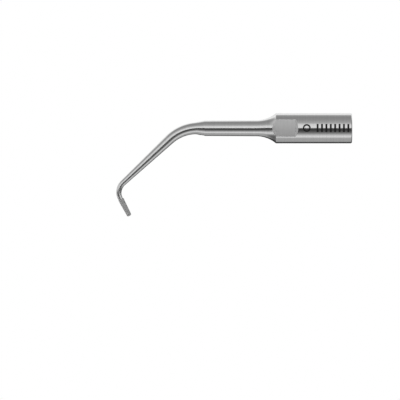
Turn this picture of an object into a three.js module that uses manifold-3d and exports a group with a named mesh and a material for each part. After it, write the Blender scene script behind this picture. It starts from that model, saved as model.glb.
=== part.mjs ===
// Ultrasonic dental surgery tip: a steel bar turned to size, drilled for water, threaded and bent twice,
// with a diamond-plated working end.
//
// Millimetres, +Z up. The origin is the centre of the hub's seat face, where the tip meets its handpiece.
// The hub's axis is X, the tip points along -X and hooks down, and the wrench flats face +Y and -Y.
// A station is a distance along the tip's own axis from the seat face, through both bends.

import * as THREE from "three";
import { mergeVertices } from "three/addons/utils/BufferGeometryUtils.js";
import Module from "manifold-3d";

const wasm = await Module();
wasm.setup();

// Driving dimensions, in millimetres, with angles in degrees.
const hub = { diameter: 4.2, length: 10.6, rearChamfer: 0.12, frontChamfer: 0.05, neckStart: 7.2 };
const flats = { across: 3.45, length: 2.75, runOutAngle: 45 };
const nose = { arcRadius: 4.2, rootDiameter: 2.22 };
const shank = { length: 7.18, endDiameter: 2.13 };
const shoulder = { length: 1.25, endDiameter: 1.64 };
const firstBend = { station: 21.35, radius: 5.75, angle: 43 };
const arm = { length: 8.83, startDiameter: 1.39, endDiameter: 0.83 };
const secondBend = { radius: 1.79, angle: 74.5, endDiameter: 0.7 };
const core = { length: 2.7, bareLength: 0.16, endDiameter: 0.54, endRadius: 0.12 };
const plating = { nickel: 0.03, diamond: 0.03 };
const socket = { entryDiameter: 3.2, entryDepth: 0.5, entryChamfer: 0.12 };
const relief = { diameter: 3.1, length: 0.5 };
const thread = { diameter: 3, pitch: 0.6, length: 5.4 };
const drill = { pointAngle: 118 };
const channel = { diameter: 0.9, end: 20.15 };
const outlet = { diameter: 0.55, station: 19.5, angle: 40 };

// How finely round shapes are divided.
const hubSegments = 72;
const socketSegments = 36;
const shankSegments = 48;
const armSegments = 32;
const bendStep = 4;
const noseSteps = 10;
const endSteps = 4;
const overshoot = 0.5;

const rad = THREE.MathUtils.degToRad;
const point = (radius, station) => new THREE.Vector2(radius, station);

// The nose is an arc that runs out of the shank and ends at the hub's chamfer.
const noseRoot = nose.rootDiameter / 2;
const noseTop = hub.diameter / 2 - hub.frontChamfer;
const noseAngle = Math.acos(1 - (noseTop - noseRoot) / nose.arcRadius);
const noseEnd = hub.length + nose.arcRadius * Math.sin(noseAngle);
const shoulderStart = noseEnd + shank.length;
const shoulderEnd = shoulderStart + shoulder.length;

// Stations of the bends and of the plated end.
const firstBendEnd = firstBend.station + rad(firstBend.angle) * firstBend.radius;
const secondBendStart = firstBendEnd + arm.length;
const secondBendEnd = secondBendStart + rad(secondBend.angle) * secondBend.radius;
const platingStart = secondBendEnd + core.bareLength;
const coreEnd = secondBendEnd + core.length;

// The turned bar's radius at the stations where its taper changes.
const turnedSizes = [
  { station: noseEnd, radius: noseRoot },
  { station: shoulderStart, radius: shank.endDiameter / 2 },
  { station: shoulderEnd, radius: shoulder.endDiameter / 2 },
  { station: firstBendEnd, radius: arm.startDiameter / 2 },
  { station: secondBendStart, radius: arm.endDiameter / 2 },
  { station: secondBendEnd, radius: secondBend.endDiameter / 2 },
  { station: platingStart, radius: secondBend.endDiameter / 2 },
  { station: coreEnd, radius: core.endDiameter / 2 },
];

function barRadius(station) {
  const next = Math.max(1, turnedSizes.findIndex((size) => size.station >= station));
  const [low, high] = turnedSizes.slice(next - 1, next + 1);
  const share = (station - low.station) / (high.station - low.station);
  return THREE.MathUtils.lerp(low.radius, high.radius, share);
}

// The axis runs straight, round the first bend, straight, round the second bend, and straight to the end.
const axisRuns = [
  { length: firstBend.station },
  { length: firstBendEnd - firstBend.station, radius: firstBend.radius },
  { length: arm.length },
  { length: secondBendEnd - secondBendStart, radius: secondBend.radius },
  { length: Infinity },
];

// Where the axis is at a station, and how far it has turned down from -X there, in radians.
function axisAt(station) {
  let [x, z, turned, left] = [0, 0, 0, station];
  for (const run of axisRuns) {
    const step = Math.min(left, run.length);
    const turn = run.radius ? step / run.radius : 0;
    const chord = run.radius ? 2 * run.radius * Math.sin(turn / 2) : step;
    x -= chord * Math.cos(turned + turn / 2);
    z -= chord * Math.sin(turned + turn / 2);
    turned += turn;
    left -= step;
  }
  return { x, z, turned };
}

// Spins a profile of (radius, station) points into a straight bar along Y, then bends the bar onto the axis.
function turnAndBend(profile, segments) {
  const bar = new THREE.LatheGeometry(profile, segments);
  const vertices = bar.getAttribute("position");
  for (let i = 0; i < vertices.count; i++) {
    const [side, station, up] = [vertices.getX(i), vertices.getY(i), vertices.getZ(i)];
    const { x, z, turned } = axisAt(Math.max(station, 0));
    const before = Math.min(station, 0);
    vertices.setXYZ(i, x - before - up * Math.sin(turned), side, z + up * Math.cos(turned));
  }
  return bar;
}

// Boolean work is done on manifold-3d solids, made from closed geometries.
function solidOf(geometry) {
  const bare = geometry.index ? geometry.toNonIndexed() : geometry.clone();
  bare.deleteAttribute("normal");
  bare.deleteAttribute("uv");
  const merged = mergeVertices(bare, 1e-4);
  return new wasm.Manifold(
    new wasm.Mesh({
      numProp: 3,
      vertProperties: merged.getAttribute("position").array,
      triVerts: new Uint32Array(merged.index.array),
    }),
  );
}

function geometryOf(solid) {
  const { vertProperties, triVerts } = solid.getMesh();
  return new THREE.BufferGeometry()
    .setAttribute("position", new THREE.BufferAttribute(vertProperties, 3))
    .setIndex(new THREE.BufferAttribute(triVerts, 1));
}

// One ISO metric internal thread as the solid that it removes: a ribbon one pitch wide, wound round the axis,
// with a fan over each end. It is one turn longer than the thread at both ends, to be trimmed square.
function threadCutter(segments) {
  const { pitch } = thread;
  const major = thread.diameter / 2;
  const minor = major - (5 / 16) * Math.sqrt(3) * pitch;
  const flank = (5 / 16) * pitch;
  const rows = [
    { rise: 0, radius: minor },
    { rise: pitch / 4, radius: minor },
    { rise: pitch / 4 + flank, radius: major },
    { rise: pitch - flank, radius: major },
    { rise: pitch, radius: minor },
  ];
  const columns = Math.ceil(thread.length / pitch + 2) * segments;
  const start = socket.entryDepth - pitch;
  const positions = [];
  for (let column = 0; column <= columns; column++) {
    const angle = (2 * Math.PI * (column % segments)) / segments;
    for (const { rise, radius } of rows) {
      const station = start + rise + (pitch * column) / segments;
      positions.push(-station, radius * Math.sin(angle), radius * Math.cos(angle));
    }
  }
  const last = rows.length - 1;
  const at = (column, row) => column * rows.length + row;
  const faces = [];
  for (let column = 0; column < columns; column++) {
    for (let row = 0; row < last; row++) {
      const [a, b] = [at(column, row), at(column + 1, row)];
      faces.push(a, b, a + 1, b + 1, a + 1, b);
    }
  }
  const fan = (rim, stationOffset) => {
    const pole = positions.length / 3;
    positions.push(-(start + stationOffset), 0, 0);
    rim.slice(1).forEach((vertex, i) => faces.push(pole, vertex, rim[i]));
  };
  const firstTurn = Array.from({ length: segments + 1 }, (_, column) => at(column, 0));
  const firstEdge = rows.map((_, row) => at(0, last - row));
  fan([...firstTurn, ...firstEdge.slice(1)], 0);
  const lastTurn = Array.from({ length: segments + 1 }, (_, i) => at(columns - i, last));
  const lastEdge = rows.map((_, row) => at(columns, row));
  fan([...lastTurn, ...lastEdge.slice(1)], (pitch * columns) / segments + pitch);
  return new THREE.BufferGeometry()
    .setAttribute("position", new THREE.Float32BufferAttribute(positions, 3))
    .setIndex(faces);
}

// The socket: a chamfered entry, the threaded bore, a relief behind the thread and the drill's cone,
// which leads into the water channel.
function socketVoid() {
  const minor = thread.diameter / 2 - (5 / 16) * Math.sqrt(3) * thread.pitch;
  const entry = socket.entryDiameter / 2;
  const reliefRadius = relief.diameter / 2;
  const channelRadius = channel.diameter / 2;
  const threadEnd = socket.entryDepth + thread.length;
  const reliefEnd = threadEnd + relief.length;
  const coneLength = (reliefRadius - channelRadius) / Math.tan(rad(drill.pointAngle / 2));
  const plain = turnAndBend(
    [
      point(0, -overshoot),
      point(entry + socket.entryChamfer + overshoot, -overshoot),
      point(entry, socket.entryChamfer),
      point(entry, socket.entryDepth),
      point(minor, socket.entryDepth),
      point(minor, threadEnd),
      point(reliefRadius, threadEnd),
      point(reliefRadius, reliefEnd),
      point(channelRadius, reliefEnd + coneLength),
      point(channelRadius, hub.neckStart + overshoot),
      point(0, hub.neckStart + overshoot),
    ],
    socketSegments,
  );
  const slug = turnAndBend(
    [
      point(0, socket.entryDepth),
      point(thread.diameter, socket.entryDepth),
      point(thread.diameter, threadEnd),
      point(0, threadEnd),
    ],
    socketSegments,
  );
  const threaded = solidOf(threadCutter(socketSegments)).intersect(solidOf(slug));
  return solidOf(plain).add(threaded);
}

// What one wrench flat removes: a block that slopes up out of the bar at its rear end and clears the nose.
function flatCutter(side) {
  const level = flats.across / 2;
  const outside = hub.diameter;
  const flatRear = -(hub.length - flats.length);
  const runOut = (outside - level) / Math.tan(rad(flats.runOutAngle));
  const outline = new THREE.Shape()
    .moveTo(-noseEnd, level)
    .lineTo(flatRear, level)
    .lineTo(flatRear + runOut, outside)
    .lineTo(-noseEnd, outside);
  const block = new THREE.ExtrudeGeometry(outline, { depth: 2 * hub.diameter, bevelEnabled: false });
  block.translate(0, 0, -hub.diameter);
  return side > 0 ? block : block.rotateX(Math.PI);
}

// The rear of the hub, around the socket.
function makeHub() {
  const radius = hub.diameter / 2;
  const blank = turnAndBend(
    [
      point(0, 0),
      point(radius - hub.rearChamfer, 0),
      point(radius, hub.rearChamfer),
      point(radius, hub.neckStart),
      point(0, hub.neckStart),
    ],
    hubSegments,
  );
  return geometryOf(solidOf(blank).subtract(socketVoid()));
}

// A straight length of the water channel that runs right through a piece.
function channelThrough(start, end) {
  const radius = channel.diameter / 2;
  return turnAndBend(
    [
      point(0, start - overshoot),
      point(radius, start - overshoot),
      point(radius, end + overshoot),
      point(0, end + overshoot),
    ],
    socketSegments,
  );
}

// The front of the hub, with its wrench flats, and the flare down to the shank.
function makeNeck() {
  const radius = hub.diameter / 2;
  const noseArc = Array.from({ length: noseSteps + 1 }, (_, i) => {
    const angle = noseAngle * (1 - i / noseSteps);
    return point(
      noseRoot + nose.arcRadius * (1 - Math.cos(angle)),
      noseEnd - nose.arcRadius * Math.sin(angle),
    );
  });
  const blank = turnAndBend(
    [
      point(0, hub.neckStart),
      point(radius, hub.neckStart),
      point(radius, hub.length - hub.frontChamfer),
      ...noseArc,
      point(0, noseEnd),
    ],
    hubSegments,
  );
  return geometryOf(
    solidOf(blank)
      .subtract(solidOf(flatCutter(1)))
      .subtract(solidOf(flatCutter(-1)))
      .subtract(solidOf(channelThrough(hub.neckStart, noseEnd))),
  );
}

// The shank carries the water channel on from the hub, and lets it out underneath, before the first bend.
function makeShank() {
  const channelRadius = channel.diameter / 2;
  const pointLength = channelRadius / Math.tan(rad(drill.pointAngle / 2));
  const bar = turnAndBend(
    [
      point(0, noseEnd),
      point(noseRoot, noseEnd),
      point(barRadius(shoulderStart), shoulderStart),
      point(barRadius(firstBend.station), firstBend.station),
      point(0, firstBend.station),
    ],
    shankSegments,
  );
  const bore = turnAndBend(
    [
      point(0, noseEnd - overshoot),
      point(channelRadius, noseEnd - overshoot),
      point(channelRadius, channel.end),
      point(0, channel.end + pointLength),
    ],
    socketSegments,
  );
  const drillLength = 2 * shank.endDiameter;
  const outletDrill = new THREE.CylinderGeometry(
    outlet.diameter / 2,
    outlet.diameter / 2,
    drillLength,
    socketSegments / 2,
  );
  outletDrill.translate(0, drillLength / 2, 0);
  outletDrill.rotateZ(rad(90 + outlet.angle)).rotateX(Math.PI / 2);
  outletDrill.translate(-outlet.station, 0, 0);
  return geometryOf(solidOf(bar).subtract(solidOf(bore)).subtract(solidOf(outletDrill)));
}

// The end of the bar, or of a layer of the given thickness on it, from its axis out and back to a station.
function endOutline(thickness, station) {
  const corner = core.endRadius + thickness;
  const flat = core.endDiameter / 2 - core.endRadius;
  const outline = [point(0, coreEnd + thickness)];
  for (let i = 0; i <= endSteps; i++) {
    const angle = (Math.PI / 2) * (1 - i / endSteps);
    outline.push(
      point(flat + corner * Math.cos(angle), coreEnd - core.endRadius + corner * Math.sin(angle)),
    );
  }
  outline.push(point(barRadius(station) + thickness, station));
  return outline;
}

// The solid arm: both bends, the long taper between them, and the core that the plating covers.
function makeArm() {
  const rings = [];
  const bends = [
    { from: firstBend.station, to: firstBendEnd, angle: firstBend.angle },
    { from: secondBendStart, to: secondBendEnd, angle: secondBend.angle },
  ];
  for (const { from, to, angle } of bends) {
    const steps = Math.ceil(angle / bendStep);
    for (let i = 0; i <= steps; i++) rings.push(THREE.MathUtils.lerp(from, to, i / steps));
  }
  rings.push(shoulderEnd);
  rings.sort((a, b) => a - b);
  const profile = [
    point(0, firstBend.station),
    ...rings.map((station) => point(barRadius(station), station)),
    ...endOutline(0, platingStart).reverse(),
  ];
  return turnAndBend(profile, armSegments);
}

// One plated layer: a thimble over the end of the arm, between two thicknesses above the steel.
function makeLayer(inner, outer) {
  const profile = [...endOutline(inner, platingStart), ...endOutline(outer, platingStart).reverse()];
  return turnAndBend(profile, armSegments);
}

const turnedSteel = { color: 0xc9cacc, metalness: 1, roughness: 0.25 };
const nickelPlate = { color: 0xb9b4a8, metalness: 1, roughness: 0.45 };
const diamondGrit = { color: 0x8f9194, metalness: 0.3, roughness: 0.7 };

function addPiece(name, geometry, finish) {
  const material = new THREE.MeshStandardMaterial({ ...finish, flatShading: true });
  const mesh = new THREE.Mesh(geometry, material);
  mesh.name = name;
  tip.add(mesh);
}

const tip = new THREE.Group();
addPiece("threaded_hub", makeHub(), turnedSteel);
addPiece("flared_neck", makeNeck(), turnedSteel);
addPiece("drilled_shank", makeShank(), turnedSteel);
addPiece("bent_arm", makeArm(), turnedSteel);
addPiece("nickel_bond", makeLayer(0, plating.nickel), nickelPlate);
addPiece("diamond_grit", makeLayer(plating.nickel, plating.nickel + plating.diamond), diamondGrit);

export default tip;
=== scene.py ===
import math
import random

import bmesh
import bpy
from mathutils import Euler, Matrix, Vector, noise


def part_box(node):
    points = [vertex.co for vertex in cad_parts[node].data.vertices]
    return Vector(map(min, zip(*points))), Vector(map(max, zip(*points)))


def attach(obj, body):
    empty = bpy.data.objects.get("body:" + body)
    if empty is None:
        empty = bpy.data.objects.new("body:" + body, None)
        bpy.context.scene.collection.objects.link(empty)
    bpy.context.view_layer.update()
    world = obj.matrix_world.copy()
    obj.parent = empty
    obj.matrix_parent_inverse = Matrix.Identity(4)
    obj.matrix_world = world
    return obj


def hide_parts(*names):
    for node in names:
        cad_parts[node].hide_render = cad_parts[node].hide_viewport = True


# A diamond-coated ultrasonic tip: one turned steel bar, bent twice, with its end plated in nickel and
# diamond grains. Pieces are drawn in millimetres, straight along -X from the seat face at X = 0, then
# bent onto the tip's axis and scaled to metres. A station is a distance along that axis.

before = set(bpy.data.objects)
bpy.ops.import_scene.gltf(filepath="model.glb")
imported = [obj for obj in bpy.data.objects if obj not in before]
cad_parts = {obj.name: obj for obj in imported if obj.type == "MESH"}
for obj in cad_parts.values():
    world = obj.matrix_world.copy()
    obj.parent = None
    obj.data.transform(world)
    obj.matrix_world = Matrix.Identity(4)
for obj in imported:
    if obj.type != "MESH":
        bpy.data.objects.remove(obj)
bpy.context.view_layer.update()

mm = 0.001
hubBox = [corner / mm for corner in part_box("threaded_hub")]
neckBox = [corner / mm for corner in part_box("flared_neck")]
shankBox = [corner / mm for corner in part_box("drilled_shank")]
armBox = [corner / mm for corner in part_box("bent_arm")]
random.seed(11)
print("frame loaded")


# Stage: camera, floor and light

camera = {
    "lens": 500,                 # mm, long enough to look almost parallel
    "sensor": 36,
    "nearest": 0.01,             # m
    "farthest": 20,
    "aim": (-21.06, 0, -9.95),   # mm, what the middle of the picture shows
    "frameWidth": 55.45,         # mm of the object's plane that fit across the picture
}
floor = {"below": 1000, "radius": 4000, "sides": 96, "colour": "#ffffff", "roughness": 0.9, "glow": 1}

# Strips of the light tent, which all run along X, the way the bar lies: (angle round it in degrees from the
# camera's side, brightness). 90 is overhead, 180 behind and -90 below. The camera's side has a bright card
# above the horizon with a black edge under it, the table is grey and its far edge is black.
strips = [
    (-180, 1.0), (-175, 0.10), (-162, 0.05), (-142, 0.05), (-134, 0.10), (-127, 0.50), (-108, 0.56),
    (-90, 0.55), (-82, 0.62), (-76, 0.92), (-66, 1.12), (-58, 0.88), (-49, 0.60), (-41, 0.36), (-33, 0.22),
    (-25, 0.115), (-17, 0.08), (-6, 0.06), (-1, 0.06), (1.5, 1.20), (15, 1.10), (30, 0.98), (38, 0.62),
    (48, 0.54), (65, 0.43), (90, 0.37), (106, 0.44), (118, 0.66), (126, 1.20), (135, 1.35), (160, 1.0),
]
brightest = 1.4
blackRise = math.radians(9)      # how far the black edge rises towards the left
# Cards hung in front of the strips: (direction, inner and outer reach in degrees, brightness).
cards = [
    ((-0.94, 0, 0.34), 8, 30, 0.85),         # pale, at the left end
    ((-0.90, 0.40, -0.20), 12, 34, 0.85),    # pale, at the left and behind
    ((1, 0, 0), 16, 42, 0.22),               # grey, closes the right end
    ((-0.70, 0.28, -0.66), 6, 26, 0.16),     # dark, shades the table to the lower left
]


def linearColour(hexText):
    channels = [int(hexText[i:i + 2], 16) / 255 for i in (1, 3, 5)]
    return [c / 12.92 if c <= 0.04045 else ((c + 0.055) / 1.055) ** 2.4 for c in channels] + [1]


def grey(level):
    return (level, level, level, 1)


def addNode(tree, kind, settings=None, links=None):
    node = tree.nodes.new(kind)
    for name, value in (settings or {}).items():
        if isinstance(name, int) or name in node.inputs:
            node.inputs[name].default_value = value
        else:
            setattr(node, name, value)
    for name, source in (links or {}).items():
        tree.links.new(source, node.inputs[name])
    return node


def makeCamera():
    data = bpy.data.cameras.new("camera")
    data.lens = camera["lens"]
    data.sensor_width = camera["sensor"]
    data.clip_start = camera["nearest"]
    data.clip_end = camera["farthest"]
    shot = bpy.data.objects.new("camera", data)
    bpy.context.scene.collection.objects.link(shot)
    distance = camera["frameWidth"] * camera["lens"] / camera["sensor"]
    shot.location = (Vector(camera["aim"]) - Vector((0, distance, 0))) * mm
    shot.rotation_euler = Euler((math.pi / 2, 0, 0))
    bpy.context.scene.camera = shot


def makeFloor():
    bm = bmesh.new()
    bmesh.ops.create_circle(bm, cap_ends=True, radius=floor["radius"] * mm, segments=floor["sides"])
    bmesh.ops.translate(bm, vec=(0, 0, -floor["below"] * mm), verts=bm.verts)
    mesh = bpy.data.meshes.new("floor")
    bm.to_mesh(mesh)
    bm.free()
    sheet = bpy.data.objects.new("floor", mesh)
    bpy.context.scene.collection.objects.link(sheet)
    paper = bpy.data.materials.new("white_matt_paper")
    paper.use_nodes = True
    shader = paper.node_tree.nodes["Principled BSDF"]
    shader.inputs["Base Color"].default_value = linearColour(floor["colour"])
    shader.inputs["Roughness"].default_value = floor["roughness"]
    shader.inputs["Emission Color"].default_value = linearColour(floor["colour"])
    shader.inputs["Emission Strength"].default_value = floor["glow"]
    mesh.materials.append(paper)
    sheet.visible_glossy = False     # the tent already has the table that the steel mirrors
    sheet.visible_diffuse = False
    sheet.visible_shadow = False


def addCard(tree, behind, looking, card):
    direction, inner, outer, level = card
    facing = addNode(tree, "ShaderNodeVectorMath", {
        "operation": "DOT_PRODUCT", 1: Vector(direction).normalized()}, {0: looking})
    cover = addNode(tree, "ShaderNodeMapRange", {
        "interpolation_type": "SMOOTHSTEP", "From Min": math.cos(math.radians(outer)),
        "From Max": math.cos(math.radians(inner))}, {"Value": facing.outputs["Value"]})
    covered = addNode(tree, "ShaderNodeMix", {"data_type": "RGBA", 7: grey(level / brightest)}, {6: behind})
    tree.links.new(cover.outputs[0], covered.inputs["Factor"])
    return covered.outputs[2]


def makeLight():
    world = bpy.data.worlds.new("light_tent")
    bpy.context.scene.world = world
    world.use_nodes = True
    tree = world.node_tree
    tree.nodes.clear()
    out = addNode(tree, "ShaderNodeOutputWorld")
    place = addNode(tree, "ShaderNodeTexCoord")
    axes = addNode(tree, "ShaderNodeSeparateXYZ", links={"Vector": place.outputs["Generated"]})
    nearer = addNode(tree, "ShaderNodeMath", {"operation": "MULTIPLY", 1: -1}, {0: axes.outputs["Y"]})
    angle = addNode(tree, "ShaderNodeMath", {"operation": "ARCTAN2"},
                    {0: axes.outputs["Z"], 1: nearer.outputs[0]})
    left = addNode(tree, "ShaderNodeMath", {"operation": "MINIMUM", 1: 0}, {0: axes.outputs["X"]})
    front = addNode(tree, "ShaderNodeMath", {"operation": "MAXIMUM", 1: 0}, {0: nearer.outputs[0]})
    corner = addNode(tree, "ShaderNodeMath", {"operation": "MULTIPLY"},
                     {0: left.outputs[0], 1: front.outputs[0]})
    curved = addNode(tree, "ShaderNodeMath", {"operation": "MULTIPLY_ADD", 1: blackRise},
                     {0: corner.outputs[0], 2: angle.outputs[0]})
    share = addNode(tree, "ShaderNodeMapRange", {"From Min": -math.pi, "From Max": math.pi},
                    {"Value": curved.outputs[0]})
    tent = addNode(tree, "ShaderNodeValToRGB", links={"Fac": share.outputs[0]})
    stops = tent.color_ramp.elements
    while len(stops) < len(strips):
        stops.new(0.5)
    for stop, (degrees, level) in zip(stops, strips):
        stop.position = (degrees + 180) / 360
        stop.color = grey(level / brightest)
    shown = tent.outputs["Color"]
    for card in cards:
        shown = addCard(tree, shown, place.outputs["Generated"], card)
    glow = addNode(tree, "ShaderNodeBackground", {"Strength": brightest}, {"Color": shown})
    white = addNode(tree, "ShaderNodeBackground", {"Color": grey(1), "Strength": 1})
    rays = addNode(tree, "ShaderNodeLightPath")
    either = addNode(tree, "ShaderNodeMixShader", links={
        0: rays.outputs["Is Camera Ray"], 1: glow.outputs[0], 2: white.outputs[0]})
    tree.links.new(either.outputs[0], out.inputs["Surface"])
    bpy.context.scene.view_settings.view_transform = "Standard"


makeCamera()
makeFloor()
makeLight()
print("stage set")


# Finishes

def newMaterial(name):
    material = bpy.data.materials.new(name)
    material.use_nodes = True
    tree = material.node_tree
    tree.nodes.clear()
    shader = addNode(tree, "ShaderNodeBsdfPrincipled")
    out = addNode(tree, "ShaderNodeOutputMaterial", links={"Surface": shader.outputs[0]})
    return material, tree, shader


def mixTones(tree, shader, share, finish):
    tones = addNode(tree, "ShaderNodeMix", {
        "data_type": "RGBA", 6: linearColour(finish["dark"]), 7: linearColour(finish["pale"])})
    tree.links.new(share, tones.inputs["Factor"])
    tree.links.new(tones.outputs[2], shader.inputs["Base Color"])


def addBump(tree, shader, height, depth):
    bump = addNode(tree, "ShaderNodeBump", {"Strength": 1, "Distance": depth * mm}, {"Height": height})
    tree.links.new(bump.outputs[0], shader.inputs["Normal"])


# Martensitic stainless steel, turned on a lathe and polished. The lathe's rings are faint two-grey lines
# round the bar, and smear reflections along it, so bands stay crisp across it. Real rings are 0.04 mm apart
# and are drawn at 0.15 mm.
polishedSteel = {
    "dark": "#bebebe",
    "pale": "#d6d6d6",
    "glossiest": 0.15,           # roughness where it is polished best, and where it has been handled
    "dullest": 0.20,
    "patch": 1.25,               # mm, how big a handled patch is
    "smear": 0.8,
    "smearTurn": 0.25,           # of a turn, which lays the smear along the bar
    "ringSpacing": 0.15,         # mm
    "ringChange": 0.15,          # how much a ring changes on its way round, per mm
    "ringDepth": 0.0002,         # mm
}


def makePolishedSteel():
    material, tree, shader = newMaterial("stainless_turned_polished")
    shader.inputs["Metallic"].default_value = 1
    shader.inputs["Anisotropic"].default_value = polishedSteel["smear"]
    shader.inputs["Anisotropic Rotation"].default_value = polishedSteel["smearTurn"]
    along = addNode(tree, "ShaderNodeUVMap", {"uv_map": "unrolled"})
    tangent = addNode(tree, "ShaderNodeTangent", {"direction_type": "UV_MAP", "uv_map": "unrolled"})
    tree.links.new(tangent.outputs[0], shader.inputs["Tangent"])
    stretch = addNode(tree, "ShaderNodeMapping", {
        "Scale": (polishedSteel["ringChange"], 1 / polishedSteel["ringSpacing"], 1)},
        {"Vector": along.outputs[0]})
    rings = addNode(tree, "ShaderNodeTexNoise", {"Scale": 1, "Detail": 3, "Roughness": 0.6},
                    {"Vector": stretch.outputs[0]})
    mixTones(tree, shader, rings.outputs["Fac"], polishedSteel)
    addBump(tree, shader, rings.outputs["Fac"], polishedSteel["ringDepth"])
    handled = addNode(tree, "ShaderNodeTexNoise", {"Scale": 1 / polishedSteel["patch"], "Detail": 2},
                      {"Vector": along.outputs[0]})
    gloss = addNode(tree, "ShaderNodeMapRange", {
        "To Min": polishedSteel["glossiest"], "To Max": polishedSteel["dullest"]},
        {"Value": handled.outputs["Fac"]})
    tree.links.new(gloss.outputs[0], shader.inputs["Roughness"])
    return material


# The same steel where an end mill cut the wrench flats: satin, with upright cutter lines of two greys. Real
# lines are 0.05 mm apart and are drawn at 0.14 mm.
milledSteel = {
    "dark": "#bcbcbc",
    "pale": "#d4d4d4",
    "roughness": 0.33,
    "lineSpacing": 0.14,         # mm
    "lineChange": 0.3,           # how much a line changes along its height, per mm
    "lineDepth": 0.003,          # mm
}


def makeMilledSteel():
    material, tree, shader = newMaterial("stainless_milled_satin")
    shader.inputs["Metallic"].default_value = 1
    shader.inputs["Roughness"].default_value = milledSteel["roughness"]
    place = addNode(tree, "ShaderNodeTexCoord")
    stretch = addNode(tree, "ShaderNodeMapping", {
        "Scale": (1 / (milledSteel["lineSpacing"] * mm), 1, milledSteel["lineChange"] / mm)},
        {"Vector": place.outputs["Object"]})
    lines = addNode(tree, "ShaderNodeTexNoise", {"Scale": 1, "Detail": 2, "Roughness": 0.5},
                    {"Vector": stretch.outputs[0]})
    mixTones(tree, shader, lines.outputs["Fac"], milledSteel)
    addBump(tree, shader, lines.outputs["Fac"], milledSteel["lineDepth"])
    return material


# The same steel as bored and tapped inside the socket: duller, with two-grey marks round the hole.
tappedSteel = {
    "dark": "#a6a6a6",
    "pale": "#c2c2c2",
    "roughness": 0.36,
    "markSpacing": 0.08,         # mm
    "markChange": 0.4,           # how much a mark changes on its way round, per mm
    "markDepth": 0.001,          # mm
}


def makeTappedSteel():
    material, tree, shader = newMaterial("stainless_bored_tapped")
    shader.inputs["Metallic"].default_value = 1
    shader.inputs["Roughness"].default_value = tappedSteel["roughness"]
    along = addNode(tree, "ShaderNodeUVMap", {"uv_map": "unrolled"})
    stretch = addNode(tree, "ShaderNodeMapping", {
        "Scale": (tappedSteel["markChange"], 1 / tappedSteel["markSpacing"], 1)},
        {"Vector": along.outputs[0]})
    marks = addNode(tree, "ShaderNodeTexNoise", {"Scale": 1, "Detail": 2}, {"Vector": stretch.outputs[0]})
    mixTones(tree, shader, marks.outputs["Fac"], tappedSteel)
    addBump(tree, shader, marks.outputs["Fac"], tappedSteel["markDepth"])
    return material


# Laser-annealed steel: a dark oxide film, almost black and a little glossy, mottled by the laser's passes,
# which lie 0.05 mm apart.
laserOxide = {"dark": "#101010", "pale": "#232323", "metallic": 0.4, "roughness": 0.5, "passSpacing": 0.05}


def makeLaserOxide():
    material, tree, shader = newMaterial("laser_annealed_oxide")
    shader.inputs["Metallic"].default_value = laserOxide["metallic"]
    shader.inputs["Roughness"].default_value = laserOxide["roughness"]
    place = addNode(tree, "ShaderNodeTexCoord")
    passes = addNode(tree, "ShaderNodeTexNoise", {
        "Scale": 1 / (laserOxide["passSpacing"] * mm), "Detail": 1}, {"Vector": place.outputs["Object"]})
    mixTones(tree, shader, passes.outputs["Fac"], laserOxide)
    return material


# Electroplated nickel, dull from the bath: satin grey, with fine nodules about 0.03 mm across and painted
# shade between them: the grey is darker where the surface lies lower.
platedNickel = {
    "dark": "#9e9e9d",
    "pale": "#c4c4c3",
    "roughness": 0.5,
    "nodule": 0.03,              # mm
    "noduleHeight": 0.004,       # mm
}


def makePlatedNickel():
    material, tree, shader = newMaterial("nickel_electroplated")
    shader.inputs["Metallic"].default_value = 1
    shader.inputs["Roughness"].default_value = platedNickel["roughness"]
    place = addNode(tree, "ShaderNodeTexCoord")
    nodules = addNode(tree, "ShaderNodeTexVoronoi", {
        "Scale": 1 / (platedNickel["nodule"] * mm), "feature": "SMOOTH_F1"},
        {"Vector": place.outputs["Object"]})
    height = addNode(tree, "ShaderNodeMath", {"operation": "SUBTRACT", 0: 1},
                     {1: nodules.outputs["Distance"]})
    # painted shade: the grey darkens into the hollows between the nodules, following the bump's height
    mixTones(tree, shader, height.outputs[0], platedNickel)
    addBump(tree, shader, height.outputs[0], platedNickel["noduleHeight"])
    return material


# Synthetic diamond grit: grey crushed crystals about 0.05 mm across, each its own tone, that glint a little
# from their flat faces.
diamondGrit = {"dark": "#aaaaaa", "pale": "#d6d6d6", "roughness": 0.5, "ior": 2.42, "grain": 0.05}


def makeDiamondGrit():
    material, tree, shader = newMaterial("diamond_grit_crushed")
    shader.inputs["Roughness"].default_value = diamondGrit["roughness"]
    shader.inputs["IOR"].default_value = diamondGrit["ior"]
    place = addNode(tree, "ShaderNodeTexCoord")
    crystals = addNode(tree, "ShaderNodeTexVoronoi", {"Scale": 1 / (diamondGrit["grain"] * mm)},
                       {"Vector": place.outputs["Object"]})
    tone = addNode(tree, "ShaderNodeSeparateColor", links={"Color": crystals.outputs["Color"]})
    mixTones(tree, shader, tone.outputs["Red"], diamondGrit)
    return material


finishes = {
    "polished": makePolishedSteel(),
    "milled": makeMilledSteel(),
    "tapped": makeTappedSteel(),
    "oxide": makeLaserOxide(),
    "nickel": makePlatedNickel(),
    "diamond": makeDiamondGrit(),
}
print("finishes made")


# The tip's axis, and the steps that every turned piece goes through

onPlane = 0.0005                 # mm, how near a point counts as on a cutting plane
sameSpot = 0.0001                # mm, how near two points are when they are one

axis = {
    "firstBend": {"station": -shankBox[0].x, "radius": 5.75, "angle": math.radians(43)},
    "straight": 8.83,
    "secondBend": {"radius": 1.79, "angle": math.radians(74.5)},
}
firstBendEnd = axis["firstBend"]["station"] + axis["firstBend"]["radius"] * axis["firstBend"]["angle"]
secondBendStart = firstBendEnd + axis["straight"]
secondBendEnd = secondBendStart + axis["secondBend"]["radius"] * axis["secondBend"]["angle"]


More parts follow.
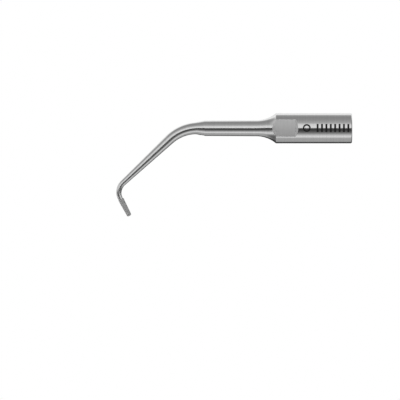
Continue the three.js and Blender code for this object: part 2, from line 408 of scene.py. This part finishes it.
def axisAt(station):
    runs = [
        (axis["firstBend"]["station"], None),
        (firstBendEnd - axis["firstBend"]["station"], axis["firstBend"]["radius"]),
        (axis["straight"], None),
        (secondBendEnd - secondBendStart, axis["secondBend"]["radius"]),
        (math.inf, None),
    ]
    place, turned, left = Vector((0, 0, 0)), 0, station
    for length, radius in runs:
        step = min(left, length)
        turn = step / radius if radius else 0
        chord = 2 * radius * math.sin(turn / 2) if radius else step
        place -= chord * Vector((math.cos(turned + turn / 2), 0, math.sin(turned + turn / 2)))
        turned += turn
        left -= step
    return place, turned


def bendOntoAxis(bm):
    for vert in bm.verts:
        centre, turned = axisAt(-vert.co.x)
        side, up = vert.co.y, vert.co.z
        vert.co = centre + Vector((-up * math.sin(turned), side, up * math.cos(turned)))


def drawOutline(bm, corners, start=None):
    # corners are (station, radius, rounding), joined by a wire in the XZ plane
    verts = [bm.verts.new((-station, 0, radius)) for station, radius, rounding in corners]
    chain = [start] + verts if start else verts
    for pair in zip(chain, chain[1:]):
        bm.edges.new(pair)
    last = verts[-1]
    for vert, (station, radius, rounding) in zip(verts, corners):
        if rounding:
            bmesh.ops.bevel(bm, geom=[vert], offset=rounding, segments=5, profile=0.5,
                            affect="VERTICES", material=-1)
    return last


def eachOnce(items):
    return list(dict.fromkeys(items))    # a set's order would change from run to run


def looseWires(bm):
    edges = [e for e in bm.edges if not e.link_faces]
    return eachOnce(v for e in edges for v in e.verts) + edges


def addRings(bm, start, end, count):
    # evenly spaced points on the outline, which become rings when it is spun
    for i in range(count + 1):
        station = start + (end - start) * i / count
        bmesh.ops.bisect_plane(bm, geom=looseWires(bm), dist=onPlane,
                               plane_co=(-station, 0, 0), plane_no=(1, 0, 0))


def spinOutline(bm, steps):
    bmesh.ops.spin(bm, geom=looseWires(bm), cent=(0, 0, 0), axis=(1, 0, 0), angle=2 * math.pi,
                   steps=steps, use_merge=True)
    bmesh.ops.remove_doubles(bm, verts=bm.verts, dist=sameSpot)


def unroll(bm, girth=10):
    # the UV map: across is the way round, girth mm for a turn, and up is the station in mm
    layer = bm.loops.layers.uv.new("unrolled")
    for face in bm.faces:
        middle = face.calc_center_median()
        facing = math.atan2(middle.y, middle.z)
        for loop in face.loops:
            x, y, z = loop.vert.co
            turn = math.atan2(y, z) if math.hypot(y, z) > sameSpot else facing
            turn += 2 * math.pi * round((facing - turn) / (2 * math.pi))
            loop[layer].uv = (girth * turn / (2 * math.pi), -x)


def facesAndRims(faces):
    corners = eachOnce(v for f in faces for v in f.verts)
    sides = eachOnce(e for f in faces for e in f.edges)
    return corners + sides + faces


def finishPiece(bm, name, materials, nodes=(), creaseAngle=30):
    bmesh.ops.recalc_face_normals(bm, faces=bm.faces)
    for face in bm.faces:
        face.smooth = True
    for edge in bm.edges:
        edge.smooth = len(edge.link_faces) == 2 and edge.calc_face_angle() < math.radians(creaseAngle)
    bmesh.ops.scale(bm, vec=(mm, mm, mm), verts=bm.verts)
    mesh = bpy.data.meshes.new(name)
    bm.to_mesh(mesh)
    bm.free()
    for material in materials:
        mesh.materials.append(finishes[material])
    piece = bpy.data.objects.new(name, mesh)
    bpy.context.scene.collection.objects.link(piece)
    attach(piece, "root")
    if nodes:
        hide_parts(*nodes)
    print(name, len(mesh.polygons), "faces")
    return piece


# Hub: turned outside, a tapped socket inside, two milled flats, a flared neck

hub = {
    "steps": 240,
    "radius": hubBox[1].z,
    "length": 10.6,
    "rearEdge": 0.12,
    "frontEdge": 0.05,
    "rounding": 0.05,            # of the chamfer's corners at the rear
    "keenRounding": 0.02,        # of the sharper corners, round the socket and at the front
    "neckArc": 4.2,              # the arc of the flare, which runs out into the shank
    "neckSteps": 28,
    "lastBand": 0.03,            # a straight band, so that the shading runs on into the shank
    "neckEnd": -neckBox[0].x,
    "neckRadius": shankBox[1].z,
}
flat = {
    "level": 3.45 / 2,
    "rear": 7.85,
    "margin": 0.5,               # how far behind the flat its run-out may reach
    "crown": 0.016,
    "slices": 6,                 # how finely each half of the crown is divided
    "border": 0.1,               # mm at both ends of the flat that stay level
    "snap": 0.00001,             # mm, how near the cut an old point may stay
}
socket = {
    "steps": 96,
    "entryRadius": 1.6,
    "entryDepth": 0.5,
    "entryEdge": 0.12,
    "majorRadius": 1.5,
    "pitch": 0.6,
    "threadLength": 5.4,
    "weld": 0.002,               # mm, how far apart the turns of the thread may be where they are joined
    "reliefRadius": 1.55,
    "reliefLength": 0.5,
    "channelRadius": 0.45,
    "drillPoint": math.radians(118),
}


def cutThread(bm):
    # one tooth's outline, wound into a ribbon whose turns meet, then trimmed square at both ends
    pitch, major = socket["pitch"], socket["majorRadius"]
    flank = 5 / 16 * pitch
    minor = major - flank * math.sqrt(3)
    turns = round(socket["threadLength"] / pitch) + 2
    start = socket["entryDepth"] - pitch
    crest = pitch / 4
    tooth = [(0, minor), (crest, minor), (crest + flank, major), (pitch - flank, major), (pitch, minor)]
    drawOutline(bm, [(start + rise, radius, 0) for rise, radius in tooth])
    bmesh.ops.spin(bm, geom=looseWires(bm), cent=(0, 0, 0), axis=(-1, 0, 0),
                   dvec=(-pitch / socket["steps"], 0, 0), angle=2 * math.pi * turns,
                   steps=turns * socket["steps"])
    bmesh.ops.remove_doubles(bm, verts=bm.verts, dist=socket["weld"])
    ends = ((socket["entryDepth"], 1), (socket["entryDepth"] + socket["threadLength"], -1))
    for station, way in ends:
        bmesh.ops.bisect_plane(bm, geom=bm.verts[:] + bm.edges[:] + bm.faces[:], dist=sameSpot,
                               plane_co=(-station, 0, 0), plane_no=(way, 0, 0), clear_outer=True)


def closeRing(bm, station):
    # fills the flat ring between the two open rims at a station
    rims = [e for e in bm.edges if len(e.link_faces) == 1
            and all(abs(v.co.x + station) < onPlane for v in e.verts)]
    bmesh.ops.triangle_fill(bm, use_beauty=True, edges=rims, normal=(1, 0, 0))


def onFlatSide(item, side):
    return all(v.co.y * side > hub["radius"] / 2 and -v.co.x > flat["rear"] - flat["margin"] - onPlane
               for v in item.verts)


def millFlat(bm, side):
    # two cuts, up the run-out and along the flat, then two new faces in the gap
    corner = Vector((-flat["rear"], side * flat["level"], 0))
    slopeUp = Vector((-1, side, 0)).normalized()
    levelUp = Vector((0, side, 0))

    def beyond(faces, normal):
        return [f for f in faces if (f.calc_center_median() - corner).dot(normal) > flat["snap"] / 2]

    def skin():
        return [f for f in bm.faces if onFlatSide(f, side)]

    bmesh.ops.bisect_plane(bm, geom=facesAndRims(skin()), dist=flat["snap"],
                           plane_co=corner, plane_no=slopeUp)
    bmesh.ops.bisect_plane(bm, geom=facesAndRims(beyond(skin(), slopeUp)), dist=flat["snap"],
                           plane_co=corner, plane_no=levelUp)
    bmesh.ops.delete(bm, geom=beyond(beyond(skin(), slopeUp), levelUp), context="FACES")
    rim = [e for e in bm.edges if len(e.link_faces) == 1 and onFlatSide(e, side)]
    flatRim = [e for e in rim if all(abs(v.co.y * side - flat["level"]) < onPlane for v in e.verts)]
    slopeRim = [e for e in rim if e not in flatRim]
    slopeVerts = {v for e in slopeRim for v in e.verts}
    fold = bm.edges.new(eachOnce(v for e in flatRim for v in e.verts if v in slopeVerts))
    for outline in (slopeRim, flatRim):
        for face in bmesh.ops.contextual_create(bm, geom=outline + [fold])["faces"]:
            face.material_index = 1  # milled
    crownFlat(bm, side)


def crownFlat(bm, side):
    # polishing leaves the flat a hair fuller along its middle than at its edges
    half = math.sqrt(hub["radius"] ** 2 - flat["level"] ** 2)
    slices = flat["slices"]
    cuts = [((0, 0, half * level / slices), (0, 0, 1)) for level in range(1 - slices, slices)]
    ends = (flat["rear"] + flat["border"], hub["length"] - flat["border"])
    cuts += [((-station, 0, 0), (1, 0, 0)) for station in ends]

    def flatFaces():
        return [f for f in bm.faces if onFlatSide(f, side)
                and all(abs(v.co.y * side - flat["level"]) < onPlane for v in f.verts)]

    for place, normal in cuts:
        bmesh.ops.bisect_plane(bm, geom=facesAndRims(flatFaces()), dist=sameSpot,
                               plane_co=place, plane_no=normal)
    faces = set(flatFaces())
    for vert in {v for f in faces for v in f.verts if all(g in faces for g in v.link_faces)}:
        vert.co.y += side * flat["crown"] * (1 - (vert.co.z / half) ** 2)


def makeHub():
    bm = bmesh.new()
    cutThread(bm)
    threadEnd = socket["entryDepth"] + socket["threadLength"]
    reliefEnd = threadEnd + socket["reliefLength"]
    coneDepth = (socket["reliefRadius"] - socket["channelRadius"]) / math.tan(socket["drillPoint"] / 2)
    coneEnd = reliefEnd + coneDepth
    neckTop = hub["radius"] - hub["frontEdge"]
    neckTurn = math.acos(1 - (neckTop - hub["neckRadius"]) / hub["neckArc"])
    arcStart = drawOutline(bm, [
        (socket["entryDepth"], socket["entryRadius"], 0),
        (socket["entryEdge"], socket["entryRadius"], hub["keenRounding"]),
        (0, socket["entryRadius"] + socket["entryEdge"], hub["keenRounding"]),
        (0, hub["radius"] - hub["rearEdge"], hub["rounding"]),
        (hub["rearEdge"], hub["radius"], hub["rounding"]),
        (flat["rear"] - flat["margin"], hub["radius"], 0),
        (hub["length"] - hub["frontEdge"], hub["radius"], hub["keenRounding"]),
        (hub["neckEnd"] - hub["neckArc"] * math.sin(neckTurn), neckTop, 0),
    ])
    arcCentre = (-hub["neckEnd"], 0, hub["neckRadius"] + hub["neckArc"])
    arc = bmesh.ops.spin(bm, geom=[arcStart], cent=arcCentre, axis=(0, 1, 0),
                         angle=neckTurn - hub["lastBand"] / hub["neckArc"], steps=hub["neckSteps"])
    drawOutline(bm, [
        (hub["neckEnd"], hub["neckRadius"], 0),
        (hub["neckEnd"], socket["channelRadius"], 0),
        (coneEnd, socket["channelRadius"], 0),
        (reliefEnd, socket["reliefRadius"], 0),
        (threadEnd, socket["reliefRadius"], 0),
    ], start=arc["geom_last"][0])
    spinOutline(bm, hub["steps"])
    closeRing(bm, socket["entryDepth"])
    closeRing(bm, threadEnd)
    millFlat(bm, -1)
    millFlat(bm, 1)
    for face in bm.faces:
        middle = face.calc_center_median()
        off = math.hypot(middle.y, middle.z)
        if off < socket["channelRadius"] or (off < socket["entryRadius"] and -middle.x < coneEnd):
            face.material_index = 2  # tapped
    unroll(bm)
    return finishPiece(bm, "hub", ["polished", "milled", "tapped"],
                       ["threaded_hub", "flared_neck"])


makeHub()


# Shank: straight, drilled for water, with the start of the step down to the arm

shank = {
    "steps": 160,
    "start": hub["neckEnd"],
    "end": -shankBox[0].x,
    "shoulder": 20.43,
    "shoulderRadius": 1.065,
    "shoulderEdge": 0.12,
    "endRadius": armBox[1].y,
    "firstRing": 20.58,          # rings on the step let it shade evenly
    "rings": 6,
    "ringGap": 0.02,             # mm between a ring and an end
    "channelEnd": 20.15,
    "outletRadius": 0.275,
    "outletStation": 19.5,
    "outletTilt": math.radians(40),
    "outletLength": 3,
}


def drillOutlet(piece):
    # the slanted hole that lets the water out underneath, just before the bend
    bm = bmesh.new()
    bmesh.ops.create_cone(bm, cap_ends=True, segments=64, radius1=shank["outletRadius"],
                          radius2=shank["outletRadius"], depth=shank["outletLength"])
    bmesh.ops.translate(bm, vec=(0, 0, -shank["outletLength"] / 2), verts=bm.verts)
    tilt = Matrix.Rotation(math.pi / 2 - shank["outletTilt"], 3, "Y")
    bmesh.ops.rotate(bm, cent=(0, 0, 0), matrix=tilt, verts=bm.verts)
    bmesh.ops.translate(bm, vec=(-shank["outletStation"], 0, 0), verts=bm.verts)
    bmesh.ops.scale(bm, vec=(mm, mm, mm), verts=bm.verts)
    mesh = bpy.data.meshes.new("outlet_drill")
    bm.to_mesh(mesh)
    bm.free()
    drill = bpy.data.objects.new("outlet_drill", mesh)
    bpy.context.scene.collection.objects.link(drill)
    hole = piece.modifiers.new("outlet", "BOOLEAN")
    hole.operation = "DIFFERENCE"
    hole.solver = "EXACT"
    hole.object = drill
    bpy.context.view_layer.update()
    drilled = bpy.data.meshes.new_from_object(piece.evaluated_get(bpy.context.evaluated_depsgraph_get()))
    piece.modifiers.remove(hole)
    piece.data = drilled
    bpy.data.objects.remove(drill)


def makeShank():
    bm = bmesh.new()
    drawOutline(bm, [
        (shank["end"], 0, 0),
        (shank["end"], shank["endRadius"], 0),
        (shank["shoulder"], shank["shoulderRadius"], shank["shoulderEdge"]),
        (shank["start"], hub["neckRadius"], 0),
        (shank["start"], socket["channelRadius"], 0),
        (shank["channelEnd"], socket["channelRadius"], 0),
        (shank["channelEnd"] + socket["channelRadius"] / math.tan(socket["drillPoint"] / 2), 0, 0),
    ])
    addRings(bm, shank["firstRing"], shank["end"] - shank["ringGap"], shank["rings"])
    spinOutline(bm, shank["steps"])
    unroll(bm)
    piece = finishPiece(bm, "shank", ["polished"], ["drilled_shank"])
    drillOutlet(piece)
    return piece


makeShank()


# Arm: the long taper with both bends, and the core that the plating grips

arm = {
    "steps": 160,
    "shoulderEnd": 21.68,
    "shoulderRadius": 0.82,
    "shoulderEdge": 0.15,
    "bendRadii": (0.695, 0.415, 0.35),   # at the end of the first bend, and both ends of the second
    "rings": (60, 12, 50),               # in the first bend, between the bends and in the second
}
coated = {
    "start": secondBendEnd + 0.16,
    "coreEnd": secondBendEnd + 2.7,
    "coreRadius": 0.27,          # at its end
    "coreEdge": 0.12,
    "nickel": 0.03,
}


def makeArm():
    bm = bmesh.new()
    first, tight, tightEnd = arm["bendRadii"]
    drawOutline(bm, [
        (shank["end"], 0, 0),
        (shank["end"], shank["endRadius"], 0),
        (arm["shoulderEnd"], arm["shoulderRadius"], arm["shoulderEdge"]),
        (firstBendEnd, first, 0),
        (secondBendStart, tight, 0),
        (secondBendEnd, tightEnd, 0),
        (coated["start"], tightEnd, 0),
        (coated["coreEnd"], coated["coreRadius"], coated["coreEdge"]),
        (coated["coreEnd"], 0, 0),
    ])
    ends = (shank["end"] + shank["ringGap"], firstBendEnd, secondBendStart, secondBendEnd)
    for start, end, count in zip(ends, ends[1:], arm["rings"]):
        addRings(bm, start, end, count)
    spinOutline(bm, arm["steps"])
    unroll(bm)
    bendOntoAxis(bm)
    return finishPiece(bm, "arm", ["polished"], ["bent_arm"])


makeArm()


# Plated end: a nickel thimble with diamond grains half sunk in it

plating = {
    "steps": 96,
    "rings": 50,
    "firstRing": 0.04,           # mm from the start
    "lastRing": 0.14,            # mm from the core's end
    "ripple": 0.008,             # mm high and 0.12 mm across
    "rippleSize": 0.12,
}
grit = {
    "spacing": 0.045,            # mm between rows, and between grains in a row
    "size": (0.038, 0.060),
    "lumps": (0.82, 1.1),        # how far a grain's corners lie from its ball
    "reach": 0.022,              # how far out of the nickel the grains stand at most
    "leastReach": 0.75,          # share of that for the lowest ones
    "stray": (0.2, 0.9),         # where in its row's width a grain may lie
    "shift": 0.3,                # share of a space that it may be off along the row
}


def coatRadius(station):
    share = (station - coated["start"]) / (coated["coreEnd"] - coated["start"])
    steel = arm["bendRadii"][2] + (coated["coreRadius"] - arm["bendRadii"][2]) * share
    return steel + coated["nickel"]


def makeNickel():
    bm = bmesh.new()
    layer = coated["nickel"]
    drawOutline(bm, [
        (coated["coreEnd"], 0, 0),
        (coated["coreEnd"], coated["coreRadius"], coated["coreEdge"]),
        (coated["start"], arm["bendRadii"][2], 0),
        (coated["start"], arm["bendRadii"][2] + layer, layer / 2),
        (coated["coreEnd"] + layer, coated["coreRadius"] + layer, coated["coreEdge"] + layer),
        (coated["coreEnd"] + layer, 0, 0),
    ])
    addRings(bm, coated["start"] + plating["firstRing"], coated["coreEnd"] - plating["lastRing"],
             plating["rings"])
    spinOutline(bm, plating["steps"])
    unroll(bm)
    for vert in bm.verts:
        outward = Vector((0, vert.co.y, vert.co.z))
        if outward.length > coatRadius(-vert.co.x) - layer / 4:
            swell = noise.noise(vert.co / plating["rippleSize"]) * plating["ripple"]
            vert.co += outward.normalized() * swell
    bendOntoAxis(bm)
    return finishPiece(bm, "nickel_plating", ["nickel"], ["nickel_bond"])


def coatOutline(path):
    # a point on the nickel's outside: down its side, round its edge, then in across its end
    edge = coated["coreEdge"] + coated["nickel"]
    tipStation = coated["coreEnd"] + coated["nickel"]
    side = tipStation - edge - coated["start"]
    if path < side:
        station = coated["start"] + path
        return station, coatRadius(station), 0
    turn = (path - side) / edge
    middle = coatRadius(tipStation) - edge
    if turn < math.pi / 2:
        return tipStation - edge + edge * math.sin(turn), middle + edge * math.cos(turn), turn
    return tipStation, middle - edge * (turn - math.pi / 2), math.pi / 2


def addGrain(bm, place, outward):
    grain = bmesh.ops.create_icosphere(bm, subdivisions=1, radius=0.5)["verts"]
    for vert in grain:
        vert.co *= random.uniform(*grit["lumps"])
    stretch = [random.uniform(*grit["size"]) for i in range(3)]
    bmesh.ops.scale(bm, vec=stretch, verts=grain)
    spinning = Euler([random.uniform(0, 2 * math.pi) for i in range(3)]).to_matrix()
    bmesh.ops.rotate(bm, cent=(0, 0, 0), matrix=spinning, verts=grain)
    reach = max(vert.co.dot(outward) for vert in grain)
    level = random.uniform(grit["leastReach"], 1) * grit["reach"] - reach
    bmesh.ops.translate(bm, vec=place + outward * level, verts=grain)


def addRow(start, end):
    # one ring of grains, in a mesh of its own
    ring = bmesh.new()
    count = max(1, round(2 * math.pi * coatOutline(start)[1] / grit["spacing"]))
    shift = random.random()
    for i in range(count):
        station, radius, lean = coatOutline(start + (end - start) * random.uniform(*grit["stray"]))
        turn = 2 * math.pi * (i + shift + random.uniform(-grit["shift"], grit["shift"])) / count
        around = Vector((0, math.sin(turn), math.cos(turn)))
        outward = math.cos(lean) * around - Vector((math.sin(lean), 0, 0))
        addGrain(ring, Vector((-station, 0, 0)) + around * radius, outward)
    mesh = bpy.data.meshes.new("grain_row")
    ring.to_mesh(mesh)
    ring.free()
    return mesh


def makeGrains():
    bm = bmesh.new()
    edge = coated["coreEdge"] + coated["nickel"]
    length = coated["coreEnd"] + coated["nickel"] - edge - coated["start"] + edge * math.pi / 2
    length += coatRadius(coated["coreEnd"] + coated["nickel"]) - edge
    rows = round(length / grit["spacing"])
    for row in range(rows):
        mesh = addRow(length * row / rows, length * (row + 1) / rows)
        bm.from_mesh(mesh)
        bpy.data.meshes.remove(mesh)
    bendOntoAxis(bm)
    return finishPiece(bm, "diamond_grains", ["diamond"], ["diamond_grit"])


makeNickel()
makeGrains()


# Laser mark on the hub: a plain ring and a row of plain bars, where a maker would put a name

mark = {
    "low": -0.003,               # mm, the film's underside and top, measured from the hub's skin
    "high": 0.006,
    "ring": {"station": 6.3, "radius": 0.55, "line": 0.22, "steps": 48},
    "bars": {"first": 4.8, "last": 0.55, "count": 8, "width": 0.27, "height": 1.15, "slices": 10},
}


def wrapOntoHub(bm):
    # flat sheets drawn at Y = 0 are bent round the side of the hub that faces -Y
    for vert in bm.verts:
        radius = hub["radius"] - vert.co.y
        turn = vert.co.z / hub["radius"]
        vert.co.y, vert.co.z = -radius * math.cos(turn), radius * math.sin(turn)


def makeMark():
    bm = bmesh.new()
    ring, bars = mark["ring"], mark["bars"]
    corners = [(ring["radius"] - ring["line"], mark["low"]), (ring["radius"], mark["low"]),
               (ring["radius"], mark["high"]), (ring["radius"] - ring["line"], mark["high"])]
    verts = [bm.verts.new((out - ring["station"], -up, 0)) for out, up in corners]
    edges = [bm.edges.new(pair) for pair in zip(verts, verts[1:] + verts[:1])]
    bmesh.ops.spin(bm, geom=verts + edges, cent=(-ring["station"], 0, 0), axis=(0, 1, 0),
                   angle=2 * math.pi, steps=ring["steps"], use_merge=True)
    for i in range(bars["count"]):
        station = bars["first"] + (bars["last"] - bars["first"]) * i / (bars["count"] - 1)
        bar = bmesh.ops.create_cube(bm, size=1)["verts"]
        bmesh.ops.scale(bm, vec=(bars["width"], mark["high"] - mark["low"], bars["height"]), verts=bar)
        bmesh.ops.translate(bm, vec=(-station, -(mark["high"] + mark["low"]) / 2, 0), verts=bar)
    for i in range(1, bars["slices"]):
        level = bars["height"] * (i / bars["slices"] - 0.5)
        bmesh.ops.bisect_plane(bm, geom=bm.verts[:] + bm.edges[:] + bm.faces[:], dist=sameSpot,
                               plane_co=(0, 0, level), plane_no=(0, 0, 1))
    wrapOntoHub(bm)
    return finishPiece(bm, "hub_mark", ["oxide"])


makeMark()
print("pieces made")
